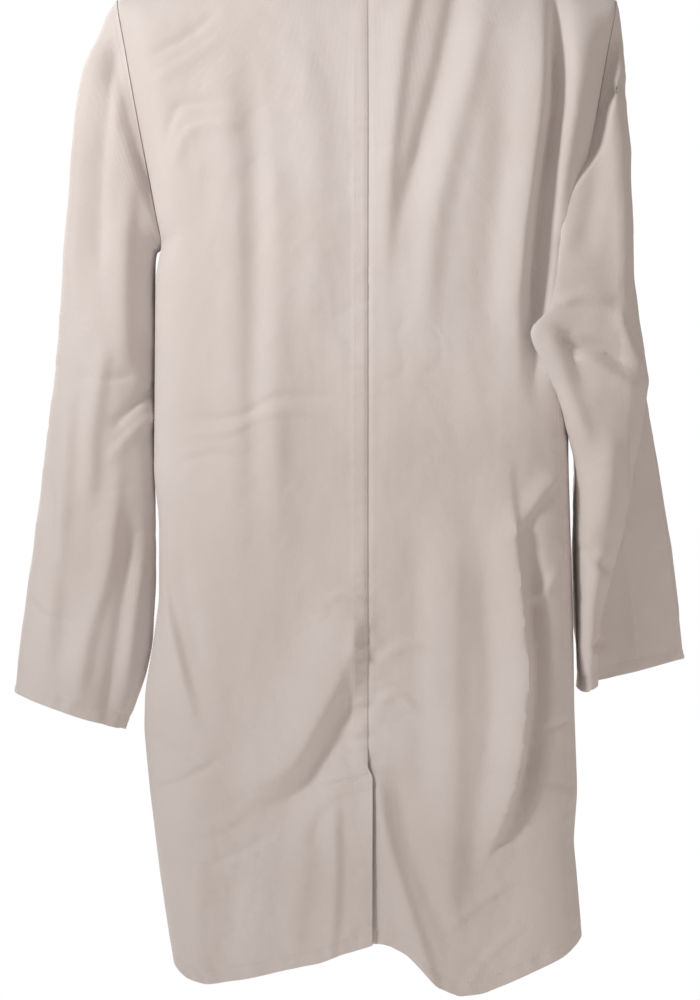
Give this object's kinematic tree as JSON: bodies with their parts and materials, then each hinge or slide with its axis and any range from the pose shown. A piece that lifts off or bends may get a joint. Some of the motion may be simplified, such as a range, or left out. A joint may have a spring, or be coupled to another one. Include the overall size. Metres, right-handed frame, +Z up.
{
  "type": "laboratory coat",
  "caption": "Knee-length white laboratory coat hanging empty: notched collar, press-stud front, patch pockets, long sleeves and a centre back vent.",
  "frame": {"origin": "the middle of the neck, where a hanger bears", "axes": "+Z up, -Y the front of the coat, +X the wearer's left"},
  "size_m": [0.677, 0.1941, 1.1121],
  "materials": {
    "coat_cloth": "plain-woven cotton and polyester, washed, matt",
    "trim_cloth": "the same cloth, turned and stitched",
    "label": "blank woven tape",
    "stud_cap": "white enamelled press-stud cap",
    "stud_metal": "nickel-plated press-stud parts"
  },
  "bodies": {
    "coat": {"back_left": "coat_cloth", "back_right": "coat_cloth", "back_hem_left": "trim_cloth", "back_hem_right": "trim_cloth", "front_side_left": "coat_cloth", "front_side_right": "coat_cloth", "collar_stand": "trim_cloth", "collar_back": "coat_cloth", "back_neck_facing": "trim_cloth", "hanger_loop": "trim_cloth", "neck_label": "label", "care_label": "label", "sleeve_left_head": "coat_cloth", "sleeve_right_head": "coat_cloth", "sleeve_left_fold": "coat_cloth", "sleeve_right_fold": "coat_cloth"},
    "front_left": {"front_left": "coat_cloth", "facing_left": "trim_cloth", "lapel_left": "coat_cloth", "collar_front_left": "coat_cloth", "hip_pocket_left": "coat_cloth", "chest_pocket": "coat_cloth", "stud_cap_1": "stud_cap", "stud_cap_2": "stud_cap", "stud_cap_3": "stud_cap", "stud_cap_4": "stud_cap", "stud_cap_5": "stud_cap", "stud_socket_1": "stud_metal", "stud_socket_2": "stud_metal", "stud_socket_3": "stud_metal", "stud_socket_4": "stud_metal", "stud_socket_5": "stud_metal"},
    "front_right": {"front_right": "coat_cloth", "facing_right": "trim_cloth", "lapel_right": "coat_cloth", "collar_front_right": "coat_cloth", "hip_pocket_right": "coat_cloth", "stud_knob_1": "stud_metal", "stud_knob_2": "stud_metal", "stud_knob_3": "stud_metal", "stud_knob_4": "stud_metal", "stud_knob_5": "stud_metal", "stud_post_1": "stud_metal", "stud_post_2": "stud_metal", "stud_post_3": "stud_metal", "stud_post_4": "stud_metal", "stud_post_5": "stud_metal"},
    "sleeve_left": {"sleeve_left_upper": "coat_cloth", "sleeve_left_elbow": "coat_cloth"},
    "forearm_left": {"sleeve_left_lower": "coat_cloth", "cuff_hem_left": "trim_cloth"},
    "sleeve_right": {"sleeve_right_upper": "coat_cloth", "sleeve_right_elbow": "coat_cloth"},
    "forearm_right": {"sleeve_right_lower": "coat_cloth", "cuff_hem_right": "trim_cloth"},
    "vent_left": {"vent_overlap": "coat_cloth"},
    "vent_right": {"vent_underlap": "coat_cloth"}
  },
  "joints": [
    {"name": "front_left_open", "type": "hinge", "parent": "coat", "child": "front_left", "pos_m": [0.1525, -0.06048, -0.55106], "axis": [-0.0615, 0.0681, 0.9958], "range_deg": [0, 95]},
    {"name": "front_right_open", "type": "hinge", "parent": "coat", "child": "front_right", "pos_m": [-0.1525, -0.054, -0.5515], "axis": [-0.0615, -0.0681, -0.9958], "range_deg": [0, 71.25]},
    {"name": "sleeve_left_raise", "type": "hinge", "parent": "coat", "child": "sleeve_left", "pos_m": [0.265, 0.006, -0.355], "axis": [0, -1, 0], "range_deg": [0, 60], "deforming": ["sleeve_left_fold"]},
    {"name": "sleeve_right_raise", "type": "hinge", "parent": "coat", "child": "sleeve_right", "pos_m": [-0.25, 0.007, -0.355], "axis": [0, 1, 0], "range_deg": [0, 60], "deforming": ["sleeve_right_fold"]},
    {"name": "elbow_left_bend", "type": "hinge", "parent": "sleeve_left", "child": "forearm_left", "pos_m": [0.275, 0.001, -0.511], "axis": [-1, 0, 0], "range_deg": [0, 80], "deforming": ["sleeve_left_elbow"]},
    {"name": "elbow_right_bend", "type": "hinge", "parent": "sleeve_right", "child": "forearm_right", "pos_m": [-0.257, 0.002, -0.511], "axis": [-1, 0, 0], "range_deg": [0, 80], "deforming": ["sleeve_right_elbow"]},
    {"name": "vent_left_spread", "type": "hinge", "parent": "coat", "child": "vent_left", "pos_m": [0.055, 0.09694, -0.972], "axis": [0.4605, 0.0142, -0.8875], "range_deg": [0, 60]},
    {"name": "vent_right_spread", "type": "hinge", "parent": "coat", "child": "vent_right", "pos_m": [-0.055, 0.09694, -0.972], "axis": [0.4605, -0.0142, 0.8875], "range_deg": [0, 21]}
  ],
  "couplings": [
    {"joint": "front_right_open", "follows": "front_left_open", "ratio": 0.75},
    {"joint": "vent_right_spread", "follows": "vent_left_spread", "ratio": 0.35}
  ]
}
